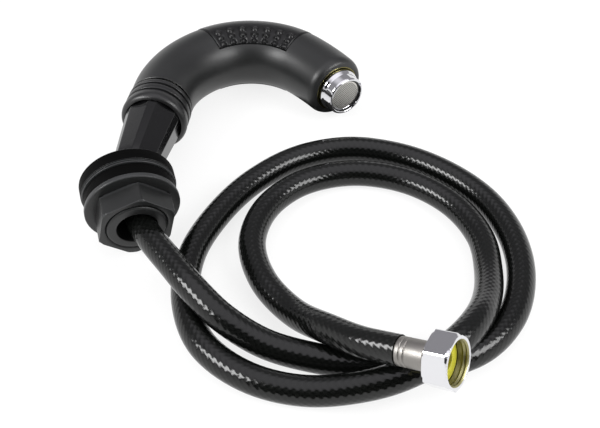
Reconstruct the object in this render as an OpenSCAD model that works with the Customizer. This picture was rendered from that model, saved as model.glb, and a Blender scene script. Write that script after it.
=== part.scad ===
// Pull-out bath spray handset on a flexible hose, with its deck bushing.
// Millimetres, Z up. The handset lies on its side on z = 0 with its hose looped beside it.

/* [Handle] */
// Length of the straight part of the handset axis, from the foot of the hose nut
straight_len = 76; // [74:0.5:82]
// Radius of the main bend
main_bend_r = 43.5; // [40:0.5:50]
// Handle radius where it meets the collar
handle_neck_r = 17.4; // [16.5:0.1:19]
// Handle radius that the middle of the curve is drawn towards
handle_mid_r = 19.6; // [18:0.1:22]
// Handle radius at the outlet
handle_end_r = 18; // [17:0.1:20]
// Wall thickness of the handle
handle_wall = 2.8; // [1.6:0.1:3.2]

/* [Grip pad] */
// Thickness of the inlaid pad
pad_t = 1.5; // [1:0.1:2]
// Height of the pad above the handle skin
pad_proud = 0.3; // [0:0.05:0.8]
// Height of the grip bumps above the pad
bump_h = 0.4; // [0.2:0.05:0.8]
// Radius of a grip bump
bump_r = 1.5; // [1:0.1:2]

/* [Hose nut and collar] */
// Flat-to-axis radius of the hose nut at its foot
cone_foot_r = 10.2; // [10:0.1:11]
// Flat-to-axis radius of the hose nut at its wide end
cone_top_r = 14.9; // [14:0.1:15.2]
// Length of the hose nut
cone_len = 55; // [54:0.5:56]
// Outer radius of the collar bands
collar_r = 18; // [17.5:0.1:19.5]

/* [Water way] */
// Outer radius of the water tube
tube_r = 5.5; // [4.5:0.1:6]
// Wall thickness of the water tube
tube_wall = 1.3; // [0.8:0.1:2]
// Outer radius of the aerator head
aerator_r = 11.6; // [11:0.1:11.8]
// Radius of the outlet thread
outlet_thread_r = 12; // [11.9:0.05:12.5]

/* [Hose] */
// Outside diameter of the hose
hose_d = 14; // [12:0.1:14.2]

/* [Deck bushing] */
// Radius of the bushing flange
flange_r = 24.3; // [23.9:0.1:25]
// Thickness of the bushing flange
flange_t = 6.6; // [5:0.1:8]
// Radius of the threaded shank
shank_r = 15; // [14.5:0.05:15.5]
// Length of the shank below the flange
shank_len = 26; // [25.5:0.1:28]
// Bore radius for the hose
bore_r = 10.2; // [10:0.1:10.8]
// Hex size of the lock nut across flats
lock_nut_af = 35.6; // [34:0.1:37]

/* [Coupling] */
// Hex size of the union nut across flats
union_af = 22.6; // [22.2:0.1:24]
// Length of the union nut
union_len = 11.3; // [10.5:0.1:13]
// Radius of the union nut thread opening
union_bore_r = 9.5; // [9.3:0.05:10]

/* [Hidden] */
$fn = 64;
// ---- placement ----
shift = [37.77, -58.475, 0];
foot = [-87.95, 5.35, 23.45] + shift;
hand_tilt = [-1.043, 1.455, 0];
hand_turn = 82.4;
run = 0.1;                                  // radial running clearance
face_gap = 0.1;                             // gap between stacked faces of moving parts

// ---- handset axis: straight, then three bends to the right ----
bend_r = [60, main_bend_r, 137];
bend_a = [46, 80.5, 12];
function arc_len(i) = bend_r[i]*bend_a[i]*PI/180;
s1 = straight_len + arc_len(0);
s2 = s1 + arc_len(1);
s_end = s2 + arc_len(2);
h1 = -bend_a[0];
h2 = h1 - bend_a[1];
h_end = h2 - bend_a[2];
function turned(p, h, r, a) = p + r*[sin(h) - sin(h - a), cos(h - a) - cos(h)];
p1 = turned([straight_len, 0], 0, bend_r[0], bend_a[0]);
p2 = turned(p1, h1, bend_r[1], bend_a[1]);
p_end = turned(p2, h2, bend_r[2], bend_a[2]);
function deg(len, r) = len/r*180/PI;
function axis_p(s) =
    s <= straight_len ? [s, 0] :
    s <= s1 ? turned([straight_len, 0], 0, bend_r[0], deg(s - straight_len, bend_r[0])) :
    s <= s2 ? turned(p1, h1, bend_r[1], deg(s - s1, bend_r[1])) :
    s <= s_end ? turned(p2, h2, bend_r[2], deg(s - s2, bend_r[2])) :
    p_end + (s - s_end)*[cos(h_end), sin(h_end)];
function axis_h(s) =
    s <= straight_len ? 0 :
    s <= s1 ? -deg(s - straight_len, bend_r[0]) :
    s <= s2 ? h1 - deg(s - s1, bend_r[1]) :
    s <= s_end ? h2 - deg(s - s2, bend_r[2]) : h_end;

// ---- stations along the straight part ----
ferrule_s = 26;                             // hose end inside the nut
shoulder_s = cone_len - 9;                  // seat of the ferrule flange
ferrule_flange_t = 2.5;
washer_t = 2;
inlet_s = shoulder_s + ferrule_flange_t + washer_t;
thread_r = 10.5;
collar_s0 = cone_len - 3.4;                 // mouth of the collar
web_s0 = cone_len + 2;
web_s1 = cone_len + 5;
handle_s = cone_len + 15.5;                 // collar ends, handle begins
hex_t = 4;
barrel_r = 9;
barrel_s = handle_s + 4.9;
seal_w = 2;
seal_d = 1.7;
seal_minor = 0.8;
collar_bore_r = 16.25;
pocket_r = 15.35;
inlet_af = 26;

// ---- outlet, measured from s_end outward ----
front_d = 2;
cup_d = -7.5;                               // back of the brass cup
cup_floor = 2.5;
cup_r = outlet_thread_r + 1.75;
outlet_barrel_d = -11.5;
aerator_len = 9.8;
aerator_bore_r = aerator_r - 1.9;
mesh_t = 0.5;
mesh_d = front_d + aerator_len - 1.9;
lip_r = aerator_bore_r - 0.4;
aerator_travel = 6;

// ---- handle skin as rings of points ----
pad_s0 = 123.5;
pad_s1 = 181.5;
pad_half = 132;
ramp = 0.3;
pad_gap = 0.05;
function bez(t) = handle_neck_r*(1-t)*(1-t) + 2*handle_mid_r*t*(1-t) + handle_end_r*t*t;
function skin_r(s) = bez((s - cone_len)/(s_end - cone_len));
nose_r = 3.5;
nose_s = s_end + front_d - 5;
function nose(s) = s <= nose_s ? 0 :
    nose_r*(1 - sqrt(max(0, 1 - pow((s - nose_s)/5, 2))));
function outer_r(s) = skin_r(s) - nose(s);
// Angles from the outside of the curve, with a close pair at each edge of the pad.
pad_angles = [for (i = [-11:11]) i*12];
back_angles = [for (i = [0:5]) pad_half + ramp*1.5 + i*(360 - 2*pad_half - ramp*3)/5];
ring_angles = concat(pad_angles, back_angles);
in_pad = [for (i = [0:len(pad_angles) + len(back_angles) - 1]) i < len(pad_angles) ? 1 : 0];
recess = pad_t - pad_proud;
stations_a = [for (s = [handle_s:(pad_s0 - ramp - handle_s)/12:pad_s0 - ramp + 0.01]) s];
stations_p = [for (s = [pad_s0:(pad_s1 - pad_s0)/16:pad_s1 + 0.01]) s];
stations_b = [for (s = [pad_s1 + ramp:(nose_s - pad_s1 - ramp)/7:nose_s + 0.01]) s];
stations_n = [for (a = [18:18:90]) nose_s + 5*sin(a)];
function ring(s, r) = let (p = axis_p(s), h = axis_h(s))
    [for (a = ring_angles) [p[0] - r*cos(a)*sin(h), p[1] + r*cos(a)*cos(h), r*sin(a)]];
function skin_ring(s, cut) = let (p = axis_p(s), h = axis_h(s))
    [for (i = [0:len(ring_angles) - 1])
        let (a = ring_angles[i], r = outer_r(s) - cut*in_pad[i])
        [p[0] - r*cos(a)*sin(h), p[1] + r*cos(a)*cos(h), r*sin(a)]];
// Inner rings: a solid end for the inlet, an open middle, a solid end for the outlet.
core_r = 6.5;
inner_a = [handle_s, barrel_s];
inner_m0 = barrel_s + 1;
inner_m1 = s_end + outlet_barrel_d - 2;
inner_m = [for (s = [inner_m0:(inner_m1 - inner_m0)/22:inner_m1 + 0.01]) s];
inner_b = [inner_m1 + 1, s_end + front_d];
function inner_r(s) = skin_r(s) - handle_wall;
n_ring = len(ring_angles);

// Joins rings of equal length into a closed tube wall, an outer run and then an inner run back.
function wall_faces(m, n) = [for (k = [0:m - 1], i = [0:n - 1])
    let (a = k*n + i, b = k*n + (i + 1)%n, c = ((k + 1)%m)*n + (i + 1)%n, d = ((k + 1)%m)*n + i)
    each [[a, c, b], [a, d, c]]];

// ---- hose route: round points on the floor, straight ends on the parts it meets ----
bush_turn_r = 85;
bush_c = [-2, 13.8] + [shift[0], shift[1]];
bush_hose_z = 22.8;
arc_from = 188;
arc_to = 215;
function arc_pt(a) = [bush_c[0] + bush_turn_r*cos(a), bush_c[1] + bush_turn_r*sin(a), bush_hose_z];
union_axis = [0.82096, -0.48397, 0.30298];
union_mouth = [64.7, -123.2, 40] + shift;
end_ferrule_len = 16;
hose_end = union_mouth - (union_len + face_gap + end_ferrule_len)*union_axis;
function tipped_x(v, a) = [v[0], v[1]*cos(a) - v[2]*sin(a), v[1]*sin(a) + v[2]*cos(a)];
function tipped_y(v, a) = [v[0]*cos(a) + v[2]*sin(a), v[1], v[2]*cos(a) - v[0]*sin(a)];
stem_axis = tipped_y(tipped_x([cos(hand_turn), sin(hand_turn), 0], hand_tilt[0]), hand_tilt[1]);
hose_start = foot + ferrule_s*stem_axis;
floor_z = hose_d/2 + 0.05;
route = concat(
    [hose_start, hose_start - hose_d*stem_axis],
    [for (i = [0:3]) arc_pt(arc_from + i*(arc_to - arc_from)/3)],
    [for (p = [
        [-61, -50, 22.4], [-50, -65, 21.6], [-36, -78.5, 17], [-17, -88, 10],
        [6, -94.5, floor_z + 0.4], [34, -98, floor_z], [61, -98, floor_z], [83, -89, floor_z],
        [99, -71, floor_z], [107.8, -46, floor_z], [108, -18, floor_z], [98.5, 10, floor_z],
        [80, 32, floor_z], [56, 47, floor_z], [28, 52.7, floor_z], [0, 45.5, floor_z],
        [-24, 26.5, floor_z], [-43, -1, floor_z], [-54, -30, floor_z], [-54.5, -60, floor_z],
        [-44.5, -87, floor_z + 0.1], [-22, -105.8, floor_z], [3, -113, floor_z + 0.5],
        [24, -113.8, 11], [41, -112, 15.4], [56, -106.5, 19.4], [69, -96.8, 21.4],
        [80, -82.5, 19.4], [87.6, -65, 14], [92, -43, 9], [91.5, -17, floor_z + 0.3],
        [80.5, 7, floor_z], [58, 25.7, floor_z], [28, 32.3, floor_z], [0, 23.5, floor_z],
        [-17.5, 4.5, floor_z], [-24.2, -20, floor_z], [-18, -47, floor_z + 0.4], [-3, -69.5, 9.6],
        [13, -87.5, 18.8]]) p + shift],
    [hose_end - hose_d*union_axis, hose_end]);
ring_pitch = 17;
hose_sides = 12;
function pt(i) = i < 0 ? 2*route[0] - route[1] :
    i >= len(route) ? 2*route[len(route) - 1] - route[len(route) - 2] : route[i];
function slope(i) = let (l0 = norm(pt(i) - pt(i - 1)), l1 = norm(pt(i + 1) - pt(i)))
    ((pt(i + 1) - pt(i))/l1*l0 + (pt(i) - pt(i - 1))/l0*l1)/(l0 + l1);
// The first and last pieces are straight.
function tangent(i) = i <= 1 ? -stem_axis : i >= len(route) - 2 ? union_axis : slope(i);
function span(i, t) = let (l = norm(pt(i + 1) - pt(i)), t2 = t*t, t3 = t2*t)
    (2*t3 - 3*t2 + 1)*pt(i) + (t3 - 2*t2 + t)*l*tangent(i)
    + (3*t2 - 2*t3)*pt(i + 1) + (t3 - t2)*l*tangent(i + 1);
function span_dir(i, t) = let (l = norm(pt(i + 1) - pt(i)), t2 = t*t,
    v = (6*t2 - 6*t)*pt(i) + (3*t2 - 4*t + 1)*l*tangent(i)
        + (6*t - 6*t2)*pt(i + 1) + (3*t2 - 2*t)*l*tangent(i + 1)) v/norm(v);
function pieces(i) = max(1, ceil(norm(pt(i + 1) - pt(i))/ring_pitch));
hose_line = concat(
    [for (i = [0:len(route) - 2], k = [0:pieces(i) - 1])
        [span(i, k/pieces(i)), span_dir(i, k/pieces(i))]],
    [[route[len(route) - 1], union_axis]]);
function hose_ring(p, t) = let (u0 = cross(t, [0, 0, 1]), u = u0/norm(u0), v = cross(u, t))
    [for (i = [0:hose_sides - 1]) p + hose_d/2*(cos(i*360/hose_sides)*u + sin(i*360/hose_sides)*v)];

// ---- bushing stack, measured down from the flange top ----
bush_axis_az = 15.83;
bush_axis_el = -8;
bush_axis = [cos(bush_axis_el)*sin(bush_axis_az), -cos(bush_axis_el)*cos(bush_axis_az),
    sin(bush_axis_el)];
bush_mouth = [-88.7, 4.65, 27] + shift;
ring_t = 1.9;
gasket_t = 8.8;
clamp_t = 2.7;
nut_t = 12.2;
ring_r = flange_r - 0.9;
gasket_r = flange_r - 1.1;
clamp_r = flange_r - 0.4;
seat_r = bore_r + 5.9;
seat_depth = 12;
neck_h = 2.9;
neck_out_r = seat_r + 2.2;
neck_flare = 1.3;                           // how far the ring opens towards its mouth
a_ring = flange_t;
a_gasket = a_ring + ring_t;
a_clamp = a_gasket + gasket_t;
a_nut = a_clamp + clamp_t;
nut_phase = 48.6;

module at_handset() {
    translate(foot) rotate(hand_tilt) rotate([0, 0, hand_turn]) children();
}
// Z runs along the handset axis from station s.
module at_stem(s) { at_handset() translate([s, 0, 0]) rotate([0, 90, 0]) children(); }
// Z runs out of the outlet from distance d.
module at_outlet(d) {
    at_handset() translate([p_end[0], p_end[1], 0]) rotate([0, 0, h_end])
        translate([d, 0, 0]) rotate([0, 90, 0]) children();
}
// Z runs down the shank from depth a below the flange top.
module at_bush(a) {
    translate(bush_mouth) rotate([0, 0, bush_axis_az - 90]) rotate([0, 90 - bush_axis_el, 0])
        translate([0, 0, a]) children();
}
// Z runs out of the union nut, from its hose side.
union_az = atan2(union_axis[1], union_axis[0]);
union_el = asin(union_axis[2]);
module at_union(m) {
    translate(union_mouth) rotate([0, 0, union_az]) rotate([0, 90 - union_el, 0])
        translate([0, 0, m - union_len]) children();
}
module disc(r, t, hole) {
    difference() {
        cylinder(h = t, r = r);
        translate([0, 0, -1]) cylinder(h = t + 2, r = hole);
    }
}
module hex(af, t) { cylinder(h = t, r = af/sqrt(3), $fn = 6); }
module o_ring(major, minor) { rotate_extrude() translate([major, 0]) circle(r = minor, $fn = 24); }

// ---- handle ----
module handle_shell() {
    outer = concat([for (s = stations_a) skin_ring(s, 0)], [for (s = stations_p) skin_ring(s, recess)],
        [for (s = stations_b) skin_ring(s, 0)], [for (s = stations_n) skin_ring(s, 0)]);
    inner = concat([for (s = inner_a) ring(s, core_r)], [for (s = inner_m) ring(s, inner_r(s))],
        [for (s = inner_b) ring(s, core_r)]);
    inner_back = [for (k = [len(inner) - 1:-1:0]) inner[k]];
    rings = concat(outer, inner_back);
    color("#232323") difference() {
        at_handset() polyhedron(points = [for (r = rings) each r],
            faces = wall_faces(len(rings), n_ring), convexity = 8);
        at_stem(handle_s - 1) cylinder(h = barrel_s - handle_s + 2, r = barrel_r + run/2);
        at_outlet(outlet_barrel_d - 1) cylinder(h = 5, r = barrel_r + run/2);
        at_outlet(cup_d - run/2) cylinder(h = front_d - cup_d + 1, r = cup_r + run/2);
    }
}

module grip_pad() {
    edge = ramp;
    st = [for (s = [pad_s0 + edge:(pad_s1 - pad_s0 - 2*edge)/16:pad_s1 - edge + 0.01]) s];
    ang = [for (i = [-11:11]) i*12*(1 - 0.4/pad_half)];
    m = len(st);
    n = len(ang);
    pts = concat(
        [for (s = st) each pad_ring(s, outer_r(s) + pad_proud, ang)],
        [for (s = st) each pad_ring(s, outer_r(s) - recess + pad_gap, ang)]);
    o = m*n;
    faces = concat(
        [for (k = [0:m - 2], i = [0:n - 2]) let (a = k*n + i) each
            [[a, a + 1, a + n + 1], [a, a + n + 1, a + n],
             [o + a, o + a + n + 1, o + a + 1], [o + a, o + a + n, o + a + n + 1]]],
        [for (k = [0:m - 2]) let (a = k*n, b = k*n + n - 1) each
            [[a, a + n, o + a + n], [a, o + a + n, o + a],
             [b, o + b + n, b + n], [b, o + b, o + b + n]]],
        [for (i = [0:n - 2]) let (a = i, b = (m - 1)*n + i) each
            [[a, o + a + 1, a + 1], [a, o + a, o + a + 1],
             [b, b + 1, o + b + 1], [b, o + b + 1, o + b]]]);
    color("#1d1d1e") at_handset() union() {
        polyhedron(points = pts, faces = [for (f = faces) [f[2], f[1], f[0]]], convexity = 6);
        for (i = [-3:3], a = bump_rows, side = [-1, 1]) bump(bump_s + bump_pitch*i, side*a);
    }
}
bump_s = 153;
bump_pitch = 8.1;
bump_rows = [97, 110.5, 124];
bump_sink = 0.5;
function pad_ring(s, r, ang) = let (p = axis_p(s), h = axis_h(s))
    [for (a = ang) [p[0] - r*cos(a)*sin(h), p[1] + r*cos(a)*cos(h), r*sin(a)]];
module bump(s, a) {
    p = axis_p(s);
    translate([p[0], p[1], 0]) rotate([0, 0, axis_h(s) + 90]) rotate([0, 90 - a, 0])
        translate([0, 0, outer_r(s) + pad_proud - bump_sink])
            cylinder(h = bump_sink + bump_h, r1 = bump_r, r2 = bump_r*0.7, $fn = 16);
}

// ---- collar: bullnose lip, two grooves, a web and a pocket for the inlet hex ----
module collar_sleeve() {
    lip_len = 3.4;
    groove = 1;
    bands = [handle_s - 11.75, handle_s - 6.15];
    rim_r = collar_r + 0.5;
    inner_lip_r = collar_bore_r - 0.3;
    lip = concat([for (t = [0:9:90]) [inner_lip_r + (rim_r - inner_lip_r)*sin(t),
        collar_s0 + lip_len*(1 - cos(t))]],
        [[rim_r - 0.1, collar_s0 + 1.4*lip_len], [collar_r + 0.15, collar_s0 + 1.85*lip_len]]);
    grooves = [for (g = bands) each [[collar_r + 0.1, g], [collar_r - groove, g + 0.3],
        [collar_r - groove, g + 1], [collar_r, g + 1.3]]];
    end = [[collar_r - 0.1, handle_s - 0.7], [collar_r - groove, handle_s - 0.5],
        [collar_r - groove, handle_s]];
    bore = [[pocket_r, handle_s], [pocket_r, web_s1], [thread_r + run, web_s1],
        [thread_r + run, web_s0], [collar_bore_r, web_s0], [collar_bore_r, collar_s0 + 1]];
    color("#1b1b1c") at_stem(0) rotate_extrude($fn = 96)
        polygon(concat(lip, grooves, end, bore));
}

// ---- hose nut: a tapered hexagon with bevelled corners ----
module hose_cone_nut() {
    color("#151516") difference() {
        at_stem(0) cone_body();
        at_stem(-1) cylinder(h = shoulder_s - 1, r = cone_foot_r - 0.9);
        at_stem(-1) cylinder(h = shoulder_s + 1, r = cone_foot_r - 1.5);
        at_stem(shoulder_s) cylinder(h = cone_len, r = thread_r);
    }
}
// Half the angle that each of the six wide facets takes.
facet_half = 22;
cone_turn = 34;                             // how far the nut is screwed round
module cone_body() {
    ring0 = [for (k = [0:5], e = [-1, 1]) let (a = cone_turn + 60*k + e*facet_half)
        cone_foot_r/cos(facet_half)*[cos(a), sin(a)]];
    ring1 = [for (v = ring0) v*cone_top_r/cone_foot_r];
    n = len(ring0);
    polyhedron(points = concat([for (v = ring0) [v[0], v[1], 0]], [for (v = ring1) [v[0], v[1], cone_len]]),
        faces = concat([[for (i = [0:n - 1]) i]], [[for (i = [n - 1:-1:0]) n + i]],
            [for (i = [0:n - 1]) [i, n + i, n + (i + 1)%n, (i + 1)%n]]));
}

module hose_top_ferrule() {
    r = cone_foot_r - 1.8;
    color("#9a9a98") at_stem(ferrule_s) difference() {
        union() {
            cylinder(h = shoulder_s - ferrule_s, r = r);
            translate([0, 0, shoulder_s - ferrule_s]) cylinder(h = ferrule_flange_t, r = thread_r - 0.3);
        }
        translate([0, 0, -1]) cylinder(h = cone_len, r = tube_r - tube_wall);
    }
}
module hose_washer() {
    color("#3a3a3a") at_stem(inlet_s - washer_t) disc(thread_r - 0.5, washer_t, tube_r);
}

valve_r = 7.5;
valve_s = inlet_s + 2.5;
valve_len = 14;
seat_t = 2;
poppet_t = 2;
poppet_travel = 2.5;
guide_t = 2;
module inlet_fitting() {
    color("#8f8f8c") difference() {
        union() {
            at_stem(inlet_s) cylinder(h = web_s1 - inlet_s, r = thread_r - run);
            at_stem(web_s1) hex(inlet_af, hex_t);
            at_stem(web_s1) cylinder(h = barrel_s - web_s1, r = barrel_r);
        }
        at_stem(inlet_s - 1) cylinder(h = valve_s + valve_len - inlet_s + 1, r = valve_r + run);
        at_stem(inlet_s) cylinder(h = barrel_s - inlet_s + 1, r = tube_r + run);
        at_stem(barrel_s - 1.4 - seal_w) cylinder(h = seal_w, r = tube_r + seal_d);
    }
}
module inlet_seal() {
    color("#202020") at_stem(barrel_s - 1.4 - seal_w/2) o_ring(tube_r + seal_minor + 0.05, seal_minor);
}
module check_valve_body() {
    color("#c9c9c2") at_stem(valve_s) difference() {
        cylinder(h = valve_len, r = valve_r);
        translate([0, 0, -1]) cylinder(h = seat_t + 2, r = 3);
        translate([0, 0, seat_t]) cylinder(h = valve_len - seat_t - guide_t, r = valve_r - 1.8);
        translate([0, 0, valve_len - guide_t - 1]) cylinder(h = guide_t + 2, r = 1.4);
        for (a = [0:60:300]) rotate([0, 0, a]) translate([3.6, 0, valve_len - guide_t - 1])
            cylinder(h = guide_t + 2, r = 1.3);
    }
}
module check_valve_poppet() {
    color("#b8b8b0") at_stem(valve_s + seat_t + 0.02) {
        cylinder(h = poppet_t, r = 4.4);
        cylinder(h = valve_len - seat_t - 1, r = 1.2);
    }
}
module check_valve_spring() {
    wire = 0.35;
    turns = 5;
    r = 2.3;
    base = valve_s + seat_t + poppet_t + wire + 0.07;
    len = valve_len - seat_t - poppet_t - guide_t - 2*wire - 0.2;
    steps = 20*turns;
    n = 8;
    pts = [for (k = [0:steps], i = [0:n - 1]) let (a = k*360/20, q = i*360/n)
        [(r + wire*cos(q))*cos(a), (r + wire*cos(q))*sin(a), len*k/steps + wire*sin(q)]];
    color("#b0b0b0") at_stem(base) polyhedron(points = pts, convexity = 10, faces = concat(
        [[for (i = [n - 1:-1:0]) i], [for (i = [0:n - 1]) steps*n + i]],
        [for (k = [0:steps - 1], i = [0:n - 1]) let (a = k*n + i, b = k*n + (i + 1)%n) each
            [[a, b, b + n], [a, b + n, a + n]]]));
}

// ---- water tube: the handset axis, with its last bend drawn tighter so that its end is straight ----
module water_tube() {
    start = barrel_s - 4;
    tail = outlet_barrel_d + 6;
    corner = bend_r[2]*tan(bend_a[2]/2);
    lead = corner - main_bend_r*tan(bend_a[2]/2);
    turn_p = p2 + lead*[cos(h2), sin(h2)];
    line = concat([[[start, 0], 0]],
        [for (s = [straight_len:(s1 - straight_len)/6:s1 - 0.01]) [axis_p(s), axis_h(s)]],
        [for (s = [s1:(s2 - s1)/10:s2 + 0.01]) [axis_p(s), axis_h(s)]],
        [for (a = [0:4:bend_a[2]]) [turned(turn_p, h2, main_bend_r, a), h2 - a]],
        [[p_end + tail*[cos(h_end), sin(h_end)], h_end]]);
    m = len(line);
    n = 28;
    rings = concat([for (q = line) tube_ring(q, tube_r, n)],
        [for (k = [m - 1:-1:0]) tube_ring(line[k], tube_r - tube_wall, n)]);
    color("#d8d8d2") at_handset() polyhedron(points = [for (r = rings) each r],
        faces = wall_faces(len(rings), n), convexity = 8);
}
function tube_ring(q, r, n) = [for (i = [0:n - 1]) let (a = i*360/n)
    [q[0][0] - r*cos(a)*sin(q[1]), q[0][1] + r*cos(a)*cos(q[1]), r*sin(a)]];
module outlet_seal() {
    color("#202020") at_outlet(outlet_barrel_d + 1 + seal_w/2) o_ring(tube_r + seal_minor + 0.05, seal_minor);
}
module outlet_insert() {
    bore = tube_r + run;
    floor_d = cup_d + cup_floor;
    groove = outlet_barrel_d + 1;
    color("#b08d4a") at_outlet(0) rotate_extrude($fn = 96) polygon([
        [bore, outlet_barrel_d], [barrel_r, outlet_barrel_d], [barrel_r, cup_d], [cup_r, cup_d],
        [cup_r, front_d - 0.1], [outlet_thread_r, front_d - 0.1], [outlet_thread_r, floor_d],
        [bore, floor_d], [bore, groove + seal_w], [tube_r + seal_d, groove + seal_w],
        [tube_r + seal_d, groove], [bore, groove]]);
}

// ---- aerator ----
aerator_washer_t = 1.48;
thread_run_out = 0.5;
rim_bevel = 0.6;
module aerator_washer() {
    color("#2b2b2b") at_outlet(cup_d + cup_floor + 0.02)
        disc(outlet_thread_r - 0.4, aerator_washer_t, aerator_bore_r - 1.7);
}
module aerator_housing() {
    back = cup_d + cup_floor + aerator_washer_t + 0.04;
    lip_d = mesh_d + mesh_t;
    rim_d = front_d + aerator_len;
    thread_out_r = outlet_thread_r - run/2;
    neck_r = outlet_thread_r - 0.4;
    color("#c8cacc") difference() {
        at_outlet(0) rotate_extrude($fn = 96) polygon([
            [aerator_bore_r, back], [thread_out_r, back], [thread_out_r, front_d - thread_run_out],
            [neck_r, front_d - thread_run_out], [neck_r, front_d], [aerator_r, front_d],
            [aerator_r, rim_d - 1], [aerator_r - rim_bevel, rim_d], [lip_r, rim_d], [lip_r, lip_d],
            [aerator_bore_r, lip_d]]);
        at_outlet(rim_d - 0.8) for (a = [45:90:315]) rotate([0, 0, a])
            translate([lip_r, 0, 1]) cube([3, 2.4, 2], center = true);
    }
}
module aerator_cartridge() {
    l = mesh_d - cup_d - cup_floor - aerator_washer_t - 0.72;
    color("#e4e4e0") at_outlet(mesh_d - l - 0.05) difference() {
        cylinder(h = l, r = aerator_bore_r - run);
        translate([0, 0, 3]) cylinder(h = l, r = aerator_bore_r - 1.6);
        for (k = [0:11]) rotate([0, 0, 30*k]) translate([6.2, 0, -1]) cylinder(h = 5, r = 0.9);
        for (k = [0:5]) rotate([0, 0, 60*k]) translate([3, 0, -1]) cylinder(h = 5, r = 0.9);
    }
}
mesh_pitch = 2.3;
module aerator_mesh() {
    color("#8c8e90") at_outlet(mesh_d) difference() {
        cylinder(h = mesh_t - 0.02, r = aerator_bore_r - run);
        for (i = [-4:4], j = [-4:4]) if (norm([i + j/2, j*0.866]) < 3.6)
            translate([mesh_pitch*(i + j/2), mesh_pitch*j*0.866, -1]) cylinder(h = 3, r = 0.8, $fn = 16);
    }
}

// ---- hose ----
module spray_hose() {
    rings = [for (q = hose_line) hose_ring(q[0], q[1])];
    m = len(rings);
    n = hose_sides;
    color("#0e0e10") polyhedron(points = [for (r = rings) each r], convexity = 12, faces = concat(
        [[for (i = [n - 1:-1:0]) i], [for (i = [0:n - 1]) (m - 1)*n + i]],
        [for (k = [0:m - 2], i = [0:n - 1]) let (a = k*n + i, b = k*n + (i + 1)%n) each
            [[a, b, b + n], [a, b + n, a + n]]]));
}

// ---- deck bushing ----
module deck_bushing() {
    bevel = 1.8;
    color("#2c2d2f") at_bush(0) rotate_extrude($fn = 96) polygon([
        [seat_r, 0], [flange_r - bevel, 0], [flange_r, bevel], [flange_r, flange_t],
        [shank_r, flange_t], [shank_r, flange_t + shank_len - 0.8],
        [shank_r - 0.8, flange_t + shank_len], [bore_r, flange_t + shank_len], [bore_r, seat_depth]]);
}
module neck_ring() {
    color("#161617") at_bush(-neck_h) rotate_extrude($fn = 96) polygon([
        [seat_r + neck_flare + 0.1, 0.3], [seat_r + neck_flare + 0.3, 0], [neck_out_r - 0.3, 0],
        [neck_out_r, 0.6], [neck_out_r, neck_h - 0.02], [seat_r + 0.1, neck_h - 0.02]]);
}
module flange_gasket() {
    color("#1a1a1b") at_bush(a_ring + 0.02) disc(ring_r, ring_t - 0.04, shank_r + 0.1);
}
module deck_gasket() {
    color("#1f1f20") at_bush(a_gasket + 0.02) disc(gasket_r, gasket_t - 0.04, shank_r + 0.2);
}
module clamp_washer() {
    color("#2a2b2d") at_bush(a_clamp + 0.02) disc(clamp_r, clamp_t - 0.04, shank_r + 0.4);
}
module lock_nut() {
    color("#232425") at_bush(a_nut + 0.02) rotate([0, 0, nut_phase]) difference() {
        intersection() {
            hex(lock_nut_af, nut_t);
            cylinder(h = nut_t, r1 = lock_nut_af/sqrt(3) - 0.05, r2 = lock_nut_af/sqrt(3) - 0.35, $fn = 96);
        }
        translate([0, 0, -1]) cylinder(h = nut_t + 2, r = shank_r + run);
    }
}

// ---- supply end ----
union_lip = 2.5;
tail_flange_t = 1.8;
tail_flange_r = union_bore_r - 0.4;
seal_t = 1.6;
union_thread_s = union_lip + face_gap + tail_flange_t + seal_t + 0.12;
union_relief_r = union_bore_r + 0.5;
tail_r = 6.2;
barb_r = 5;
tail_bore_r = 4;
module end_ferrule() {
    r = hose_d/2 - 0.5;
    grooves = [2.2, 4.4, end_ferrule_len - 2.6];
    color("#a5a39c") at_union(-face_gap - end_ferrule_len) rotate_extrude($fn = 64) polygon(concat(
        [[barb_r + 0.05, 0], [r - 0.4, 0], [r, 0.4]],
        [for (g = grooves) each [[r, g], [r - 0.35, g + 0.25], [r - 0.35, g + 0.55], [r, g + 0.8]]],
        [[r, end_ferrule_len - 0.3], [r - 0.3, end_ferrule_len], [barb_r + 0.05, end_ferrule_len]]));
}
module tail_piece() {
    color("#b9975b") at_union(0) difference() {
        union() {
            translate([0, 0, -face_gap - end_ferrule_len + 0.5]) cylinder(h = end_ferrule_len, r = barb_r);
            translate([0, 0, -face_gap + 0.05]) cylinder(h = union_lip + face_gap + 0.5, r = tail_r);
            translate([0, 0, union_lip + face_gap]) cylinder(h = tail_flange_t, r = tail_flange_r);
        }
        translate([0, 0, -2*end_ferrule_len]) cylinder(h = 3*end_ferrule_len, r = tail_bore_r);
    }
}
module sealing_washer() {
    color("#a8a23a") at_union(union_lip + face_gap + tail_flange_t + 0.02)
        disc(tail_flange_r, seal_t, tail_bore_r + 0.6);
}
module coupling_nut() {
    chamfer = 0.8;
    color("#d4d6d8") at_union(0) difference() {
        intersection() {
            rotate([0, 0, union_phase]) hex(union_af, union_len);
            rotate_extrude($fn = 96) polygon([[0, 0], [union_af/2 + 0.4, 0], [union_af/sqrt(3), chamfer],
                [union_af/sqrt(3), union_len - 1.4*chamfer], [union_af/2 + 0.1, union_len], [0, union_len]]);
        }
        translate([0, 0, -1]) cylinder(h = union_len + 2, r = tail_r + run);
        translate([0, 0, union_lip]) cylinder(h = union_thread_s - union_lip, r = union_relief_r);
        translate([0, 0, union_lip]) cylinder(h = union_len, r = union_bore_r);
    }
}
union_phase = 34.25;

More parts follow.
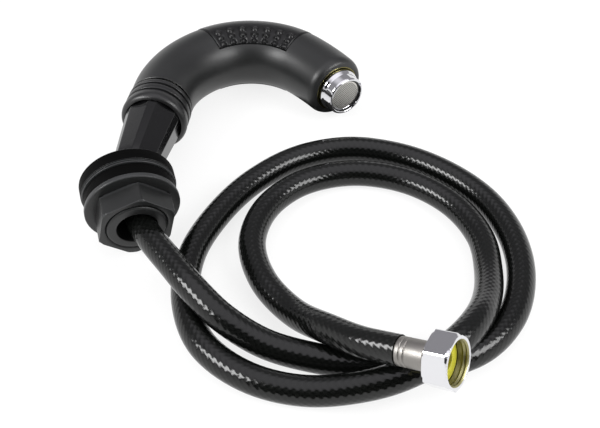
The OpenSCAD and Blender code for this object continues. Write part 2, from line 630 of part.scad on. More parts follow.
handle_shell();
grip_pad();
collar_sleeve();
hose_cone_nut();
inlet_fitting();
inlet_seal();
check_valve_body();
check_valve_poppet();
check_valve_spring();
water_tube();
outlet_seal();
outlet_insert();
aerator_washer();
aerator_housing();
aerator_cartridge();
aerator_mesh();
hose_washer();
hose_top_ferrule();
spray_hose();
end_ferrule();
tail_piece();
sealing_washer();
coupling_nut();
deck_bushing();
neck_ring();
flange_gasket();
deck_gasket();
clamp_washer();
lock_nut();
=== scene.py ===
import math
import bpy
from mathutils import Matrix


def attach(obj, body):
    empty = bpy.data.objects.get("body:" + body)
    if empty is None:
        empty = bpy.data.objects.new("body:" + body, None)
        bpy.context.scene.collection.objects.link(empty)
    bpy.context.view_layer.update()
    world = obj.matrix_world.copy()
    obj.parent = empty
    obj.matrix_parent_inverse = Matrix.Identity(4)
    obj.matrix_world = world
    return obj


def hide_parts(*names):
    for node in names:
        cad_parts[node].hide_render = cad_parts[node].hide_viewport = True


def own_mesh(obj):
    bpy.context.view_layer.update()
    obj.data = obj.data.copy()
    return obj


bl_info = {
    "name": "Pull-out bath sprayer",
    "version": (1, 0, 0),
    "blender": (4, 5, 0),
    "location": "3D View > Sidebar > Bath sprayer",
    "description": "Dresses the packed handset, hose and deck bushing in their real finishes",
    "category": "Object",
}

import bpy
from bpy.props import FloatProperty, FloatVectorProperty, IntProperty, PointerProperty
from mathutils import Matrix, Vector

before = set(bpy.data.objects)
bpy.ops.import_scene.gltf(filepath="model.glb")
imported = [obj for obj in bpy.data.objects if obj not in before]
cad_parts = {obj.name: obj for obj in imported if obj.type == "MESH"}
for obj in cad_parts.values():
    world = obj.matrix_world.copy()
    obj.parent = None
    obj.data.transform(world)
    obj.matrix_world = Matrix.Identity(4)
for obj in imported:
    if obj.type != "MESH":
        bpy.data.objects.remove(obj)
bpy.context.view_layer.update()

# ---------------------------------------------------------------- places, in millimetres

MM = 0.001
SHIFT = Vector((37.77, -58.475, 0))
# The handset's own frame: X runs up the straight stem from the foot of the hose nut.
FOOT = Vector((-87.95, 5.35, 23.45)) + SHIFT
HAND_TILT = (1.455, -1.043)
HAND_TURN = 82.4
HAND = (
    Matrix.Translation(FOOT * MM)
    @ Matrix.Rotation(math.radians(HAND_TILT[0]), 4, "Y")
    @ Matrix.Rotation(math.radians(HAND_TILT[1]), 4, "X")
    @ Matrix.Rotation(math.radians(HAND_TURN), 4, "Z")
)
STEM_AXIS = (HAND.to_3x3() @ Vector((1, 0, 0))).normalized()
# The handset's axis: a straight length, then bends to the right, each as (radius, degrees).
STRAIGHT = 76
BENDS = ((60, 46), (43.5, 80.5), (137, 12))
# Places along that axis: top of the hose nut, start of the handle, foot of the valve spring,
# both ends of the grip pad, and how far the shell reaches past the end of the axis.
CONE_LEN = 55
HANDLE_S = 70.5
SPRING_S = 57.42
PAD_S = (123.5, 181.5)
FRONT_D = 2
# Half the pad's width round the handle, in degrees.
PAD_HALF = 132
# Radii of the handle's skin at the hose nut, in the middle and at the front, and its rounded front.
NECK_R, MIDDLE_R, FRONT_R = 17.4, 19.6, 18
NOSE_LEN, NOSE_R = 5, 3.5
UNION_AXIS = Vector((0.82096, -0.48397, 0.30298)).normalized()
UNION_MOUTH = Vector((64.7, -123.2, 40)) + SHIFT
UNION_LEN = 11.3
UNION_AF = 22.6
FERRULE_LEN = 16
FACE_GAP = 0.1
BUSH_MOUTH = Vector((-88.7, 4.65, 27)) + SHIFT
BUSH_AZ, BUSH_EL = math.radians(15.83), math.radians(-8)
BUSH_AXIS = Vector((
    math.cos(BUSH_EL) * math.sin(BUSH_AZ),
    -math.cos(BUSH_EL) * math.cos(BUSH_AZ),
    math.sin(BUSH_EL),
))
LOCK_NUT_AF = 35.6
# The hose turns through the bushing on an arc, then lies on the floor.
HOSE_ARC_CENTRE = Vector((-2, 13.8, 22.8)) + SHIFT
HOSE_ARC_R = 85
FLOOR_Z = 7.05
HOSE_R = 7


def along(axis):
    """Rotation that turns local Z onto axis, as the part's source does it."""
    az = math.atan2(axis.y, axis.x)
    el = math.asin(axis.z / axis.length)
    return Matrix.Rotation(az, 4, "Z") @ Matrix.Rotation(math.pi / 2 - el, 4, "Y")


def turned(p, h, r, a):
    """Point and heading after turning right by a degrees on a radius r."""
    h0, h1 = math.radians(h), math.radians(h - a)
    x = p[0] + r * (math.sin(h0) - math.sin(h1))
    y = p[1] + r * (math.cos(h1) - math.cos(h0))
    return (x, y), h - a


def axis_at(s):
    """Point and heading in degrees on the handset's axis, s millimetres from its foot."""
    if s <= STRAIGHT:
        return (s, 0.0), 0.0
    p, h, left = (STRAIGHT, 0.0), 0.0, s - STRAIGHT
    for r, a in BENDS:
        length = math.radians(a) * r
        if left <= length:
            return turned(p, h, r, math.degrees(left / r))
        p, h = turned(p, h, r, a)
        left -= length
    return (p[0] + left * math.cos(math.radians(h)), p[1] + left * math.sin(math.radians(h))), h


S_END = STRAIGHT + sum(math.radians(a) * r for r, a in BENDS)
P_END, H_END = axis_at(S_END)
NOSE_S = S_END + FRONT_D - NOSE_LEN


def skin_r(s):
    """Radius of the handle's skin, s millimetres along the axis."""
    t = (s - CONE_LEN) / (S_END - CONE_LEN)
    r = NECK_R * (1 - t) ** 2 + 2 * MIDDLE_R * t * (1 - t) + FRONT_R * t * t
    if s > NOSE_S:
        r -= NOSE_R * (1 - math.sqrt(max(0.0, 1 - ((s - NOSE_S) / NOSE_LEN) ** 2)))
    return r


def skin_point(s, a, r):
    """Point at radius r round the axis: 0 degrees is the outside of the curve, 90 the top."""
    (x, y), h = axis_at(s)
    a, h = math.radians(a), math.radians(h)
    return (x - r * math.cos(a) * math.sin(h), y + r * math.cos(a) * math.cos(h), r * math.sin(a))


def stem_frame(s):
    """Frame whose Z runs up the stem, from s millimetres along it."""
    return HAND @ Matrix.Translation((s * MM, 0, 0)) @ Matrix.Rotation(math.pi / 2, 4, "Y")


def outlet_frame(d):
    """Frame whose Z points out of the handset, from d millimetres past the end of its axis."""
    return (
        HAND
        @ Matrix.Translation((P_END[0] * MM, P_END[1] * MM, 0))
        @ Matrix.Rotation(math.radians(H_END), 4, "Z")
        @ Matrix.Translation((d * MM, 0, 0))
        @ Matrix.Rotation(math.pi / 2, 4, "Y")
    )


def bush_frame(d):
    """Frame whose Z runs down the bushing, from d millimetres below its mouth."""
    place = Matrix.Translation(BUSH_MOUTH * MM) @ along(BUSH_AXIS)
    return place @ Matrix.Translation((0, 0, d * MM))


def union_frame(d):
    """Frame whose Z points out of the union nut, from d millimetres past its back."""
    place = Matrix.Translation(UNION_MOUTH * MM) @ along(UNION_AXIS)
    return place @ Matrix.Translation((0, 0, (d - UNION_LEN) * MM))


# ---------------------------------------------------------------- mesh helpers


def linear(code):
    """sRGB hex such as "#1a2b3c" to a linear colour."""
    values = [int(code[i:i + 2], 16) / 255 for i in (1, 3, 5)]
    return tuple(v / 12.92 if v <= 0.04045 else ((v + 0.055) / 1.055) ** 2.4 for v in values)


def to_hex(colour):
    """Linear colour back to sRGB hex."""
    code = [12.92 * c if c <= 0.0031308 else 1.055 * c ** (1 / 2.4) - 0.055 for c in colour]
    return "#" + "".join(f"{round(max(0.0, min(1.0, c)) * 255):02x}" for c in code)


def spaced(first, stop, step):
    """Numbers from first up to stop, step apart."""
    out = []
    while first < stop:
        out.append(first)
        first += step
    return out


def make(name, verts, faces, material, matrix=None, sharp=35, uvs=None):
    """New mesh object in metres from points in millimetres, smooth but for its sharp edges."""
    mesh = bpy.data.meshes.new(name)
    mesh.from_pydata([(x * MM, y * MM, z * MM) for x, y, z in verts], [], faces)
    if uvs:
        layer = mesh.uv_layers.new(name="along")
        layer.data.foreach_set("uv", [c for loop in mesh.loops for c in uvs[loop.index]])
    mesh.materials.append(material)
    mesh.validate()
    mesh.polygons.foreach_set("use_smooth", [True] * len(mesh.polygons))
    mesh.set_sharp_from_angle(angle=math.radians(sharp))
    obj = bpy.data.objects.new(name, mesh)
    bpy.context.scene.collection.objects.link(obj)
    if matrix:
        obj.matrix_world = matrix
    return obj


def grid_faces(rows, cols, wrap_rows=False, wrap_cols=True):
    """Four-sided faces between rows of cols points."""
    faces = []
    for k in range(rows if wrap_rows else rows - 1):
        low, high = k * cols, ((k + 1) % rows) * cols
        for i in range(cols if wrap_cols else cols - 1):
            j = (i + 1) % cols
            faces.append((low + i, low + j, high + j, high + i))
    return faces


def rounded(points, radius, steps=3):
    """The closed outline with each corner rounded by radius, or by the third number of a point."""
    out = []
    n = len(points)
    for i, p in enumerate(points):
        a, b, c = Vector(points[i - 1][:2]), Vector(p[:2]), Vector(points[(i + 1) % n][:2])
        r = p[2] if len(p) > 2 else radius
        u, v = a - b, c - b
        cut = min(r, u.length * 0.45, v.length * 0.45)
        if cut < 1e-4:
            out.append(tuple(b))
            continue
        p0, p1 = b + u.normalized() * cut, b + v.normalized() * cut
        for k in range(steps + 1):
            t = k / steps
            out.append(tuple(p0 * (1 - t) ** 2 + b * 2 * t * (1 - t) + p1 * t * t))
    return out


def lathe(name, outline, material, matrix, segments=96, reach=None, sharp=35):
    """Turns a closed outline of (radius, height) about Z. reach(angle, r, z) may move a point."""
    verts = []
    for i in range(segments):
        a = 2 * math.pi * i / segments
        for r, z in outline:
            q, y = (r, z) if reach is None else reach(a, r, z)
            verts.append((q * math.cos(a), q * math.sin(a), y))
    faces = grid_faces(segments, len(outline), True, True)
    return make(name, verts, faces, material, matrix, sharp)


def hex_reach(across, turn):
    """Lets the outer points of a lathe follow a hexagon with slightly rounded corners."""
    step = 2 * math.pi / 6
    tip = across / 2 / math.cos(step / 2)
    corner, spread = 0.6, 0.05

    def reach(a, r, z):
        x = (a - math.radians(turn) + step / 2) % step - step / 2
        flat = across / 2 / math.cos(step / 2 - abs(x))
        return min(r, flat, tip - corner * math.exp(-((x / spread) ** 2)) * 0.35), z

    return reach


def second_finish(obj, material, chosen):
    """Gives material to the faces whose middle, as (radius, height) in millimetres, is chosen."""
    obj.data.materials.append(material)
    slot = len(obj.data.materials) - 1
    for face in obj.data.polygons:
        if chosen(face.center.xy.length / MM, face.center.z / MM):
            face.material_index = slot


# ---------------------------------------------------------------- material helpers


def feed(tree, node, inputs):
    """Fills the node's sockets, each with a value or with another node's socket."""
    for key, value in inputs.items():
        if isinstance(value, bpy.types.NodeSocket):
            tree.links.new(value, node.inputs[key])
        else:
            node.inputs[key].default_value = value


def add(tree, kind, inputs=None, **settings):
    """Adds a node. settings are its own values, and inputs fill its sockets."""
    node = tree.nodes.new(kind)
    for key, value in settings.items():
        setattr(node, key, value)
    feed(tree, node, inputs or {})
    return node


def blank(name, **shader):
    """A material with only its shader, whose sockets are set from shader."""
    material = bpy.data.materials.new(name)
    material.use_nodes = True
    tree = material.node_tree
    bsdf = tree.nodes["Principled BSDF"]
    for key, value in shader.items():
        socket = bsdf.inputs[key.replace("_", " ")]
        socket.default_value = (*value, 1) if key == "Base_Color" else value
    return material, tree, bsdf


def per_mm(size):
    """Scale of a noise whose features are size millimetres wide."""
    return 1 / (size * MM)


def grained(name, code, rough, grain_mm, depth_mm, tint=0.12, spread=0.08, **shader):
    """A moulded surface: colour a little uneven, roughness a little uneven, and a fine grain."""
    material, tree, bsdf = blank(name, Base_Color=linear(code), Roughness=rough, **shader)
    patch_mm = 16.667
    where = add(tree, "ShaderNodeTexCoord").outputs["Object"]
    broad = add(tree, "ShaderNodeTexNoise", {
        "Vector": where, "Scale": per_mm(patch_mm), "Detail": 4.0})
    fine = add(tree, "ShaderNodeTexNoise", {
        "Vector": where, "Scale": per_mm(2 * grain_mm), "Detail": 2.0})
    dark = tuple(c * (1 - tint) for c in linear(code))
    light = tuple(min(1.0, c * (1 + tint) + 0.001) for c in linear(code))
    shade = add(tree, "ShaderNodeMix", {
        "Factor": broad.outputs["Fac"], "A": (*dark, 1), "B": (*light, 1)}, data_type="RGBA")
    uneven = add(tree, "ShaderNodeMapRange", {
        "Value": broad.outputs["Fac"], "To Min": rough - spread, "To Max": rough + spread})
    bump = add(tree, "ShaderNodeBump", {
        "Height": fine.outputs["Fac"], "Strength": 0.5, "Distance": depth_mm * MM})
    feed(tree, bsdf, {
        "Base Color": shade.outputs["Result"], "Roughness": uneven.outputs["Result"],
        "Normal": bump.outputs["Normal"]})
    return material


# ---------------------------------------------------------------- finishes


def moulded_abs(code, rough):
    # Injection-moulded ABS: near black, a soft satin sheen from a fine spark-eroded texture.
    # Its real grain is about 0.1 mm, drawn at 0.5 mm so that it still breaks up the highlights.
    return grained("moulded ABS", code, rough, 0.5, 0.03, spread=0.05, IOR=1.53)


def soft_touch_tpe():
    # Overmoulded TPE: a little duller than the shell it is set into, and more uneven in tone.
    # Its real grain is about 0.2 mm, drawn at 0.7 mm so that it shows.
    return grained(
        "soft-touch TPE", "#0d0d0e", 0.33, 0.7, 0.12, tint=0.3, IOR=1.5, Specular_IOR_Level=0.3)


def polished_acetal():
    # Acetal from a polished mould: black with clear, long highlights and almost no grain.
    return grained("polished acetal", "#0a0a0b", 0.16, 1.5, 0.012, spread=0.03, IOR=1.48)


def glass_filled_nylon():
    # Glass-filled nylon: near black, with the slightly dry skin that the fibres give it.
    # Its real grain is about 0.2 mm, drawn at 0.6 mm so that it shows.
    return grained(
        "glass-filled nylon", "#131414", 0.42, 0.6, 0.05, tint=0.25, IOR=1.53,
        Specular_IOR_Level=0.42)


def highlight_painted_nylon():
    # The same nylon, lighter in colour: painted highlight on the rims and edges that catch the
    # lamps.
    return grained(
        "glass-filled nylon with painted highlight", "#272829", 0.42, 0.6, 0.03, tint=0.25, IOR=1.53,
        Specular_IOR_Level=0.42)


def epdm_rubber():
    # Moulded EPDM: dull and very dark, with hardly any sheen.
    return grained("EPDM rubber", "#010101", 0.62, 0.7, 0.05, IOR=1.5, Specular_IOR_Level=0.05)


def yellow_rubber():
    # Yellow NBR sealing washer, flat-cut from sheet: even olive yellow with a soft bloom.
    return grained("yellow NBR sheet", "#b0ab2e", 0.5, 0.6, 0.04, IOR=1.5)


def white_acetal():
    # Natural white acetal of the hidden valve, tube and mixer parts.
    return grained("natural acetal", "#dcdcd6", 0.4, 0.8, 0.02, IOR=1.48)


def chromed_brass(rough=0.07):
    # Polished chrome plate: a bright neutral mirror, rippled a little by the polishing.
    material, tree, bsdf = blank(
        "chrome plate", Base_Color=linear("#dddde0"), Metallic=1.0, Roughness=rough)
    ripple_mm, smear_mm = 4.545, 1.111
    where = add(tree, "ShaderNodeTexCoord").outputs["Object"]
    ripple = add(tree, "ShaderNodeTexNoise", {
        "Vector": where, "Scale": per_mm(ripple_mm), "Detail": 2.0})
    smear = add(tree, "ShaderNodeTexNoise", {
        "Vector": where, "Scale": per_mm(smear_mm), "Detail": 3.0})
    uneven = add(tree, "ShaderNodeMapRange", {
        "Value": smear.outputs["Fac"], "To Min": rough * 0.6, "To Max": rough * 1.5})
    bump = add(tree, "ShaderNodeBump", {
        "Height": ripple.outputs["Fac"], "Strength": 0.25, "Distance": 0.02 * MM})
    feed(tree, bsdf, {
        "Roughness": uneven.outputs["Result"], "Normal": bump.outputs["Normal"]})
    return material


def turned_metal(name, code, rough, line_mm):
    # Lathe-turned metal: fine rings round the axis, which stretch the highlights across them.
    material, tree, bsdf = blank(name, Base_Color=linear(code), Metallic=1.0, Roughness=rough)
    blotch_mm = 6.667
    where = add(tree, "ShaderNodeTexCoord").outputs["Object"]
    stretch = add(tree, "ShaderNodeMapping", {"Vector": where, "Scale": (0.02, 0.02, 1.0)})
    lines = add(tree, "ShaderNodeTexNoise", {
        "Vector": stretch.outputs["Vector"], "Scale": per_mm(line_mm), "Detail": 2.0})
    blotch = add(tree, "ShaderNodeTexNoise", {
        "Vector": where, "Scale": per_mm(blotch_mm), "Detail": 3.0})
    dark = tuple(c * 0.85 for c in linear(code))
    light = tuple(min(1.0, c * 1.08) for c in linear(code))
    shade = add(tree, "ShaderNodeMix", {
        "Factor": blotch.outputs["Fac"], "A": (*dark, 1), "B": (*light, 1)}, data_type="RGBA")
    uneven = add(tree, "ShaderNodeMapRange", {
        "Value": lines.outputs["Fac"], "To Min": rough - 0.08, "To Max": rough + 0.12})
    bump = add(tree, "ShaderNodeBump", {
        "Height": lines.outputs["Fac"], "Strength": 0.4, "Distance": 0.03 * MM})
    feed(tree, bsdf, {
        "Base Color": shade.outputs["Result"], "Roughness": uneven.outputs["Result"],
        "Normal": bump.outputs["Normal"]})
    return material


def braided_pvc(strands, depth_mm):
    # Clear PVC skin over a black nylon braid: the glossy skin follows the strands under it in very
    # low slanted waves, so each highlight breaks into a row of leaning blobs.
    material, tree, bsdf = blank(
        "PVC over nylon braid", Base_Color=linear("#080908"), Roughness=0.18, IOR=1.5,
        Specular_IOR_Level=0.42)
    orange_peel_mm = 3.125
    where = add(tree, "ShaderNodeTexCoord")
    # U goes once round, V counts turns of the braid's lead along the hose.
    parts = add(tree, "ShaderNodeSeparateXYZ", {"Vector": where.outputs["UV"]})
    waves = []
    for sign in (1.0, -1.0):
        lean = add(tree, "ShaderNodeMath", {
            0: parts.outputs["Y"], 1: sign}, operation="MULTIPLY")
        turn = add(tree, "ShaderNodeMath", {
            0: parts.outputs["X"], 1: lean.outputs["Value"]}, operation="ADD")
        phase = add(tree, "ShaderNodeMath", {
            0: turn.outputs["Value"], 1: 2 * math.pi * strands}, operation="MULTIPLY")
        wave = add(tree, "ShaderNodeMath", {0: phase.outputs["Value"]}, operation="SINE")
        waves.append(wave.outputs["Value"])
    weave = add(tree, "ShaderNodeMath", {
        0: waves[1], 1: 0.75, 2: waves[0]}, operation="MULTIPLY_ADD")
    grain = add(tree, "ShaderNodeTexNoise", {
        "Vector": where.outputs["Object"], "Scale": per_mm(orange_peel_mm), "Detail": 3.0})
    height = add(tree, "ShaderNodeMath", {
        0: grain.outputs["Fac"], 1: 2.5, 2: weave.outputs["Value"]}, operation="MULTIPLY_ADD")
    bump = add(tree, "ShaderNodeBump", {
        "Height": height.outputs["Value"], "Strength": 1.0, "Distance": depth_mm * MM})
    shade = add(tree, "ShaderNodeMapRange", {
        "Value": weave.outputs["Value"], "From Min": -1.5, "From Max": 1.5})
    tone = add(tree, "ShaderNodeMix", {
        "Factor": shade.outputs["Result"], "A": (*linear("#050605"), 1),
        "B": (*linear("#0b0c0b"), 1)}, data_type="RGBA")
    feed(tree, bsdf, {"Base Color": tone.outputs["Result"], "Normal": bump.outputs["Normal"]})
    return material


def woven_screen():
    # Stainless wire screen of the aerator: crossed bright wires with dark openings between them.
    # The real wires are 0.3 mm apart, drawn at 0.9 mm so that they show.
    material, tree, bsdf = blank(
        "stainless wire screen", Base_Color=linear("#c8c6c0"), Metallic=1.0, Roughness=0.5)
    cell_mm = 0.9
    where = add(tree, "ShaderNodeTexCoord")
    wires = []
    # Both sets of wires stand 40 degrees off the level.
    for axis in ((0.766, 0.643, 0), (-0.643, 0.766, 0)):
        dot = add(tree, "ShaderNodeVectorMath", {
            0: where.outputs["Object"], 1: axis}, operation="DOT_PRODUCT")
        phase = add(tree, "ShaderNodeMath", {
            0: dot.outputs["Value"], 1: math.pi / (cell_mm * MM)}, operation="MULTIPLY")
        wave = add(tree, "ShaderNodeMath", {0: phase.outputs["Value"]}, operation="SINE")
        wire = add(tree, "ShaderNodeMath", {0: wave.outputs["Value"]}, operation="ABSOLUTE")
        wires.append(wire.outputs["Value"])
    both = add(tree, "ShaderNodeMath", {0: wires[0], 1: wires[1]}, operation="MINIMUM")
    gap = add(tree, "ShaderNodeMapRange", {
        "Value": both.outputs["Value"], "From Min": 0.45, "From Max": 0.6})
    tone = add(tree, "ShaderNodeMix", {
        "Factor": gap.outputs["Result"], "A": (*linear("#cfcec9"), 1),
        "B": (*linear("#5f5d59"), 1)}, data_type="RGBA")
    bump = add(tree, "ShaderNodeBump", {
        "Height": both.outputs["Value"], "Strength": 0.6, "Distance": 0.1 * MM}, invert=True)
    feed(tree, bsdf, {"Base Color": tone.outputs["Result"], "Normal": bump.outputs["Normal"]})
    return material


# ---------------------------------------------------------------- what a user would change


class SprayerSettings(bpy.types.PropertyGroup):
    hose_diameter: FloatProperty(
        name="Hose diameter", description="Outside diameter of the spray hose", default=0.014,
        unit="LENGTH")
    braid_strands: IntProperty(
        name="Braid strands", description="Strands each way round the hose", default=13,
        min=4, max=24)
    braid_depth: FloatProperty(
        name="Braid depth", description="Height of the waves that the braid makes in the skin",
        default=0.000022, unit="LENGTH")
    bump_height: FloatProperty(
        name="Grip bump height", description="Height of the bumps on the grip pad",
        default=0.0009, unit="LENGTH")
    shell_colour: FloatVectorProperty(
        name="Shell colour", description="Colour of the handle shell", subtype="COLOR", size=3,
        min=0, max=1, default=linear("#131414"))
    floor_colour: FloatVectorProperty(
        name="Floor colour", description="Colour of the floor it lies on", subtype="COLOR",
        size=3, min=0, max=1, default=linear("#fafafa"))


def settings():
    return bpy.context.scene.bath_sprayer


# ---------------------------------------------------------------- stage


def facing(spot, direction):
    """Place at spot, with local Z along direction."""
    return Matrix.Translation(spot) @ direction.to_track_quat("Z", "Y").to_matrix().to_4x4()


def shown_rays(tree):
    """Socket that is 1 for what the camera, glass and gloss see, and 0 for light on surfaces."""
    rays = add(tree, "ShaderNodeLightPath").outputs
    seen = add(tree, "ShaderNodeMath", {
        0: rays["Is Camera Ray"], 1: rays["Is Transmission Ray"]}, operation="MAXIMUM")
    shown = add(tree, "ShaderNodeMath", {
        0: seen.outputs["Value"], 1: rays["Is Glossy Ray"]}, operation="MAXIMUM")
    return shown.outputs["Value"]


class SPRAYER_OT_stage(bpy.types.Operator):
    """Camera, floor, world and lamps"""

    bl_idname = "sprayer.stage"
    bl_label = "Stage"

    def execute(self, context):
        scene = context.scene
        scene.view_settings.view_transform = "Standard"
        self.camera(scene)
        self.world(scene)
        self.floor()
        # Soft boxes left and right give the narrow highlights, the ceiling lights without a
        # mirror image, and the tent and the flags are the dim surroundings that the gloss shows.
        self.lamp("left_softbox", (-0.718, -0.349, 0.602), 1.4, width=0.85, depth=0.4, power=16.5)
        self.lamp("right_softbox", (0.721, -0.367, 0.588), 1.1, width=0.65, depth=0.4, power=7.6)
        ceiling = self.lamp("ceiling", (0.05, 0.35, 0.94), 1.5, width=1.4, depth=1.2, power=5.0)
        ceiling.visible_glossy = False
        self.tent()
        front = Vector((0.105, -0.892, 0.441))
        self.flag("dark_front", front, Vector((0.1, -0.85, 0.42)), width=1.8, height=0.9)
        # A small one lies on the floor under the outlet, and darkens what the chrome shows there.
        low = (Vector((20, 92, FLOOR_Z - HOSE_R + 1)) + SHIFT) * MM
        self.flag("dark_floor", low, Vector((0, 0, 1)), width=0.05, height=0.06)
        return {"FINISHED"}

    def camera(self, scene):
        camera = bpy.data.objects.new("camera", bpy.data.cameras.new("camera"))
        camera.data.lens = 58.93
        camera.data.sensor_width = 36
        camera.data.clip_start = 0.01
        eye = (Vector((0, -371.42, 359.46)) + SHIFT) * MM
        target = (Vector((0, 0, HOSE_R)) + SHIFT) * MM
        look = (target - eye).to_track_quat("-Z", "Y").to_matrix().to_4x4()
        camera.matrix_world = Matrix.Translation(eye) @ look
        scene.collection.objects.link(camera)
        scene.camera = camera

    def world(self, scene):
        """A white surround that lights the object a little less than it shows."""
        world = bpy.data.worlds.new("studio")
        world.use_nodes = True
        scene.world = world
        tree = world.node_tree
        tree.nodes.clear()
        white = (1, 1, 1, 1)
        light = add(tree, "ShaderNodeBackground", {"Color": white, "Strength": 0.75})
        backdrop = add(tree, "ShaderNodeBackground", {"Color": white, "Strength": 1.0})
        both = add(tree, "ShaderNodeMixShader", {
            0: shown_rays(tree), 1: light.outputs["Background"],
            2: backdrop.outputs["Background"]})
        add(tree, "ShaderNodeOutputWorld", {"Surface": both.outputs["Shader"]})

    def floor(self):
        """Matt white paper, just under the lowest piece."""
        material, tree, bsdf = blank(
            "matt white paper", Base_Color=tuple(settings().floor_colour), Roughness=0.95,
            Specular_IOR_Level=0.0)
        fibre_mm = 2.5
        # The camera and the gloss see mostly the paper's own white, so its shadows stay faint.
        own_white = 0.8
        share = add(tree, "ShaderNodeMath", {
            0: shown_rays(tree), 1: own_white}, operation="MULTIPLY")
        white = add(tree, "ShaderNodeEmission", {"Color": (1, 1, 1, 1), "Strength": 1.0})
        both = add(tree, "ShaderNodeMixShader", {
            0: share.outputs["Value"], 1: bsdf.outputs["BSDF"], 2: white.outputs["Emission"]})
        feed(tree, tree.nodes["Material Output"], {"Surface": both.outputs["Shader"]})
        where = add(tree, "ShaderNodeTexCoord")
        fibre = add(tree, "ShaderNodeTexNoise", {
            "Vector": where.outputs["Object"], "Scale": per_mm(fibre_mm), "Detail": 3.0})
        bump = add(tree, "ShaderNodeBump", {
            "Height": fibre.outputs["Fac"], "Strength": 0.1, "Distance": 0.02 * MM})
        feed(tree, bsdf, {"Normal": bump.outputs["Normal"]})
        floor = self.sheet("floor", 12000, 12000, material)
        floor.location.z = -0.0002

    def sheet(self, name, x, y, material):
        """Flat rectangle reaching x and y millimetres each way."""
        corners = [(-x, -y, 0), (x, -y, 0), (x, y, 0), (-x, y, 0)]
        return make(name, corners, [(0, 1, 2, 3)], material)

    def lamp(self, name, direction, distance, width, depth, power):
        """Soft box that faces the object from a distance. Sizes in metres, power in watts."""
        light = bpy.data.lights.new(name, "AREA")
        light.shape = "RECTANGLE"
        light.size, light.size_y = width, depth
        light.energy = power
        lamp = bpy.data.objects.new(name, light)
        spot = Vector(direction).normalized() * distance
        lamp.matrix_world = facing(spot, spot)
        bpy.context.scene.collection.objects.link(lamp)
        return lamp

    def tent(self):
        """A grey tent, lit from above, that only reflections see, open all round at the bottom."""
        material, tree, _ = blank("grey tent cloth")
        where = add(tree, "ShaderNodeTexCoord")
        height = add(tree, "ShaderNodeSeparateXYZ", {"Vector": where.outputs["Object"]})
        lit = add(tree, "ShaderNodeMapRange", {
            "Value": height.outputs["Z"], "From Min": 1.75, "From Max": 2.35,
            "To Min": 0.33, "To Max": 1.3}, interpolation_type="SMOOTHSTEP")
        cloth = add(tree, "ShaderNodeEmission", {
            "Color": (*linear("#fbf9ff"), 1), "Strength": lit.outputs["Result"]})
        feed(tree, tree.nodes["Material Output"], {"Surface": cloth.outputs["Emission"]})
        around, rings, radius, lowest, rise = 48, 12, 2500, 16, 73
        verts = []
        for k in range(rings):
            e = math.radians(lowest + rise * k / (rings - 1))
            for i in range(around):
                a = 2 * math.pi * i / around
                verts.append((
                    radius * math.cos(e) * math.cos(a), radius * math.cos(e) * math.sin(a),
                    radius * math.sin(e)))
        top = (rings - 1) * around
        faces = grid_faces(rings, around) + [tuple(range(top, top + around))]
        self.reflection_only(make("tent", verts, faces, material))

    def flag(self, name, spot, faces, width, height):
        """A black card that only reflections see, as used to keep glossy black looking black."""
        material, _, _ = blank("black card", Base_Color=linear("#050505"), Roughness=1.0)
        card = self.sheet(name, width * 500, height * 500, material)
        card.matrix_world = facing(spot, faces)
        self.reflection_only(card)

    def reflection_only(self, card):
        card.visible_camera = False
        card.visible_diffuse = False
        card.visible_shadow = False
        card.visible_transmission = False


# ---------------------------------------------------------------- hose


def hose_route():
    """The points that the hose passes, the same as in the part's source, in millimetres."""
    inside, straight = 26, 2 * HOSE_R
    start = FOOT + inside * STEM_AXIS
    end = UNION_MOUTH - (UNION_LEN + FACE_GAP + FERRULE_LEN) * UNION_AXIS
    arc = []
    for a in (188, 197, 206, 215):
        out = Vector((math.cos(math.radians(a)), math.sin(math.radians(a)), 0))
        arc.append(HOSE_ARC_CENTRE + HOSE_ARC_R * out)
    f = FLOOR_Z
    laid = (
        (-61, -50, 22.4), (-50, -65, 21.6), (-36, -78.5, 17), (-17, -88, 10),
        (6, -94.5, f + 0.4), (34, -98, f), (61, -98, f), (83, -89, f),
        (99, -71, f), (107.8, -46, f), (108, -18, f), (98.5, 10, f),
        (80, 32, f), (56, 47, f), (28, 52.7, f), (0, 45.5, f),
        (-24, 26.5, f), (-43, -1, f), (-54, -30, f), (-54.5, -60, f),
        (-44.5, -87, f + 0.1), (-22, -105.8, f), (3, -113, f + 0.5),
        (24, -113.8, 11), (41, -112, 15.4), (56, -106.5, 19.4), (69, -96.8, 21.4),
        (80, -82.5, 19.4), (87.6, -65, 14), (92, -43, 9), (91.5, -17, f + 0.3),
        (80.5, 7, f), (58, 25.7, f), (28, 32.3, f), (0, 23.5, f),
        (-17.5, 4.5, f), (-24.2, -20, f), (-18, -47, f + 0.4), (-3, -69.5, 9.6),
        (13, -87.5, 18.8),
    )
    points = [start, start - straight * STEM_AXIS] + arc + [Vector(p) + SHIFT for p in laid]
    return points + [end - straight * UNION_AXIS, end]


def hose_line(step):
    """Points and directions every step millimetres along the route."""
    points = hose_route()
    n = len(points)

    def slope(i):
        if i <= 1:
            return -STEM_AXIS
        if i >= n - 2:
            return UNION_AXIS
        a, b = points[i] - points[i - 1], points[i + 1] - points[i]
        return (b / b.length * a.length + a / a.length * b.length) / (a.length + b.length)

    line = []
    for i in range(n - 1):
        p, q = points[i], points[i + 1]
        length = (q - p).length
        u, v = slope(i) * length, slope(i + 1) * length
        count = max(2, round(length / step))
        for k in range(count):
            t = k / count
            line.append((
                (2 * t**3 - 3 * t**2 + 1) * p + (t**3 - 2 * t**2 + t) * u
                + (3 * t**2 - 2 * t**3) * q + (t**3 - t**2) * v,
                ((6 * t**2 - 6 * t) * p + (3 * t**2 - 4 * t + 1) * u
                 + (6 * t - 6 * t**2) * q + (3 * t**2 - 2 * t) * v).normalized(),
            ))
    line.append((points[-1], UNION_AXIS))
    return line


